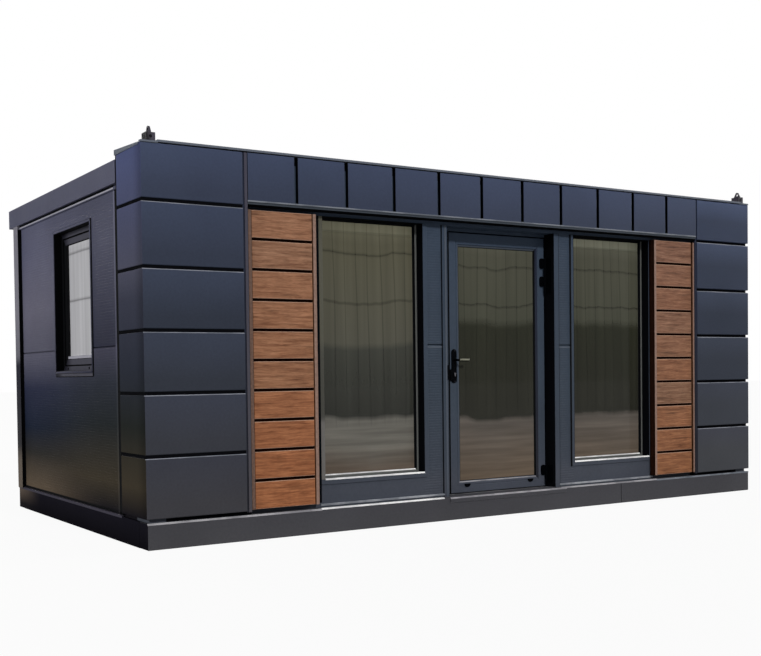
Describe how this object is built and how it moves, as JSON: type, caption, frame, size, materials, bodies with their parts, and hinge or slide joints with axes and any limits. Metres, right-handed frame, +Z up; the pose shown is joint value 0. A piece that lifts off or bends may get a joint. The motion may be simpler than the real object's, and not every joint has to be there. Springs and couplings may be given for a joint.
{
  "type": "container office",
  "caption": "Single-storey modular container office with a dark metal-clad front portal, timber-board panels, tall windows and a glazed door.",
  "frame": {"origin": "centre of the footprint on the ground", "axes": "+X along the front towards the hinge side of the door, -Y out of the front, +Z up"},
  "size_m": [6.008, 3.135, 2.775],
  "materials": {
    "base_paint": "satin grey paint on rolled steel beams",
    "floor": "matt grey floor covering",
    "panel_paint": "satin anthracite, fine-lined sandwich panel",
    "roof_sheet": "satin grey roof sheet",
    "backing": "matt black backing",
    "cassette_paint": "satin anthracite cassette cladding",
    "timber": "brown wood grain",
    "frame_paint": "satin anthracite window and door profile",
    "glass": "tinted insulating glass",
    "threshold_metal": "satin",
    "hardware_black": "black powder coat"
  },
  "bodies": {
    "root": {"base_beam_front": "base_paint", "base_beam_rear": "base_paint", "base_beams_side": "base_paint", "floor_deck": "floor", "front_posts": "panel_paint", "rear_posts": "panel_paint", "left_wall_lower": "panel_paint", "left_wall_upper": "panel_paint", "right_wall_lower": "panel_paint", "right_wall_upper": "panel_paint", "rear_wall_lower": "panel_paint", "rear_wall_upper": "panel_paint", "front_wall_left": "panel_paint", "front_wall_right": "panel_paint", "front_piers": "panel_paint", "front_sills": "panel_paint", "header_beam": "panel_paint", "header_lip": "panel_paint", "roof_panel": "roof_sheet", "side_fascias": "panel_paint", "rear_fascia": "panel_paint", "wall_top_trim": "panel_paint", "portal_core_left": "backing", "portal_core_right": "backing", "cassettes_left": "cassette_paint", "cassettes_right": "cassette_paint", "cassettes_header": "cassette_paint", "parapet_core": "backing", "parapet_cap": "cassette_paint", "timber_frames": "timber", "timber_boards": "timber", "window_left": "frame_paint", "window_right": "frame_paint", "side_window_left": "frame_paint", "side_window_right": "frame_paint", "window_glass": "glass", "door_frame": "frame_paint", "threshold": "threshold_metal", "hinge_frames": "hardware_black", "lifting_eyes": "hardware_black"},
    "door": {"door_leaf": "frame_paint", "door_glass": "glass", "hinge_leaves": "hardware_black", "handle_plates": "hardware_black"},
    "lever": {"handle_lever": "hardware_black"}
  },
  "joints": [
    {"name": "door", "type": "hinge", "parent": "root", "child": "door", "pos_m": [0.6305, -1.3905, 1.175], "axis": [0, 0, 1], "range_deg": [0, 95]},
    {"name": "door_handle", "type": "hinge", "parent": "door", "child": "lever", "pos_m": [-0.3175, -1.3725, 1.234], "axis": [0, 1, 0], "range_deg": [0, 45], "stiffness_Nm_per_rad": 0.9}
  ]
}
